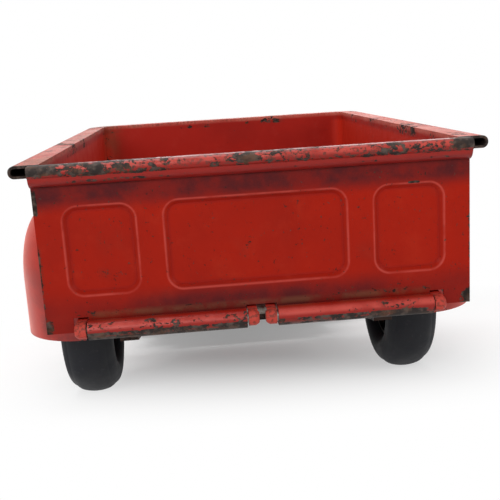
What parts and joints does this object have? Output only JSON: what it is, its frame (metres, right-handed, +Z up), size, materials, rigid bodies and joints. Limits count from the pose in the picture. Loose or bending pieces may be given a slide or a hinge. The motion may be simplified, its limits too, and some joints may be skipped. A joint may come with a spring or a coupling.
{
  "type": "toy dump truck",
  "caption": "Pressed-steel toy dump truck: tipping pickup-style bed with bulging fenders, drop tailgate, hand lever, cab and rubber-tyred disc wheels.",
  "frame": {"origin": "centre of the truck's base: on the ground, midway across its width and along its length, with the bed at its stored tip", "axes": "+Y towards the front of the truck, +Z up, +X to the truck's right side"},
  "size_m": [0.1286, 0.3072, 0.099],
  "materials": {
    "red_paint": "worn gloss enamel, chipped to dark steel on its edges",
    "frame_paint": "thin dark enamel with surface rust",
    "bare_steel": "dull, stained",
    "plated_steel": "bright plate, slightly dulled",
    "wheel_paint": "worn gloss enamel",
    "tyre_rubber": "smooth, matt",
    "clear_screen": "clear",
    "lamp_lens": "clear, domed",
    "knob_plastic": "polished"
  },
  "bodies": {
    "chassis": {"chassis_frame": "frame_paint", "tipping_rod": "bare_steel", "rear_axle": "bare_steel", "front_axle": "bare_steel", "axle_caps": "plated_steel", "cab_shell": "red_paint", "cab_floor": "frame_paint", "windscreen": "clear_screen", "hood": "red_paint", "grille": "plated_steel", "front_bumper": "plated_steel", "front_fender_left": "red_paint", "front_fender_right": "red_paint", "headlamp_rim_left": "plated_steel", "headlamp_rim_right": "plated_steel", "headlamp_lens_left": "lamp_lens", "headlamp_lens_right": "lamp_lens"},
    "bed": {"bed_tub": "red_paint", "bed_underframe": "red_paint", "gate_hinge_wires": "bare_steel", "wheel_well_left": "red_paint", "wheel_well_right": "red_paint", "rear_fender_left": "red_paint", "rear_fender_right": "red_paint"},
    "gate": {"tailgate": "red_paint"},
    "lever": {"lever_rod": "bare_steel", "crank_arm": "bare_steel", "lever_knob": "knob_plastic"},
    "wheel_rear_left": {"tyre_rear_left": "tyre_rubber", "wheel_disc_rear_left": "wheel_paint"},
    "wheel_rear_right": {"tyre_rear_right": "tyre_rubber", "wheel_disc_rear_right": "wheel_paint"},
    "wheel_front_left": {"tyre_front_left": "tyre_rubber", "wheel_disc_front_left": "wheel_paint"},
    "wheel_front_right": {"tyre_front_right": "tyre_rubber", "wheel_disc_front_right": "wheel_paint"}
  },
  "joints": [
    {"name": "bed_tilt", "type": "hinge", "parent": "chassis", "child": "bed", "pos_m": [0, -0.1164, 0.026], "axis": [1, 0, 0], "range_deg": [-11.5, 18.5]},
    {"name": "lever_swing", "type": "hinge", "parent": "chassis", "child": "lever", "pos_m": [0, -0.0444, 0.026], "axis": [1, 0, 0], "range_deg": [-27.72, 44.59]},
    {"name": "tailgate_drop", "type": "hinge", "parent": "bed", "child": "gate", "pos_m": [0, -0.14464, 0.02638], "axis": [1, 0, 0], "range_deg": [0, 80]},
    {"name": "wheel_spin_rear_left", "type": "hinge", "parent": "chassis", "child": "wheel_rear_left", "pos_m": [-0.0501, -0.0744, 0.024], "axis": [1, 0, 0], "continuous": true},
    {"name": "wheel_spin_rear_right", "type": "hinge", "parent": "chassis", "child": "wheel_rear_right", "pos_m": [0.0501, -0.0744, 0.024], "axis": [1, 0, 0], "continuous": true},
    {"name": "wheel_spin_front_left", "type": "hinge", "parent": "chassis", "child": "wheel_front_left", "pos_m": [-0.0501, 0.1026, 0.024], "axis": [1, 0, 0], "continuous": true},
    {"name": "wheel_spin_front_right", "type": "hinge", "parent": "chassis", "child": "wheel_front_right", "pos_m": [0.0501, 0.1026, 0.024], "axis": [1, 0, 0], "continuous": true}
  ],
  "couplings": [
    {"joint": "lever_swing", "follows": "bed_tilt", "ratio": 2.4102}
  ]
}
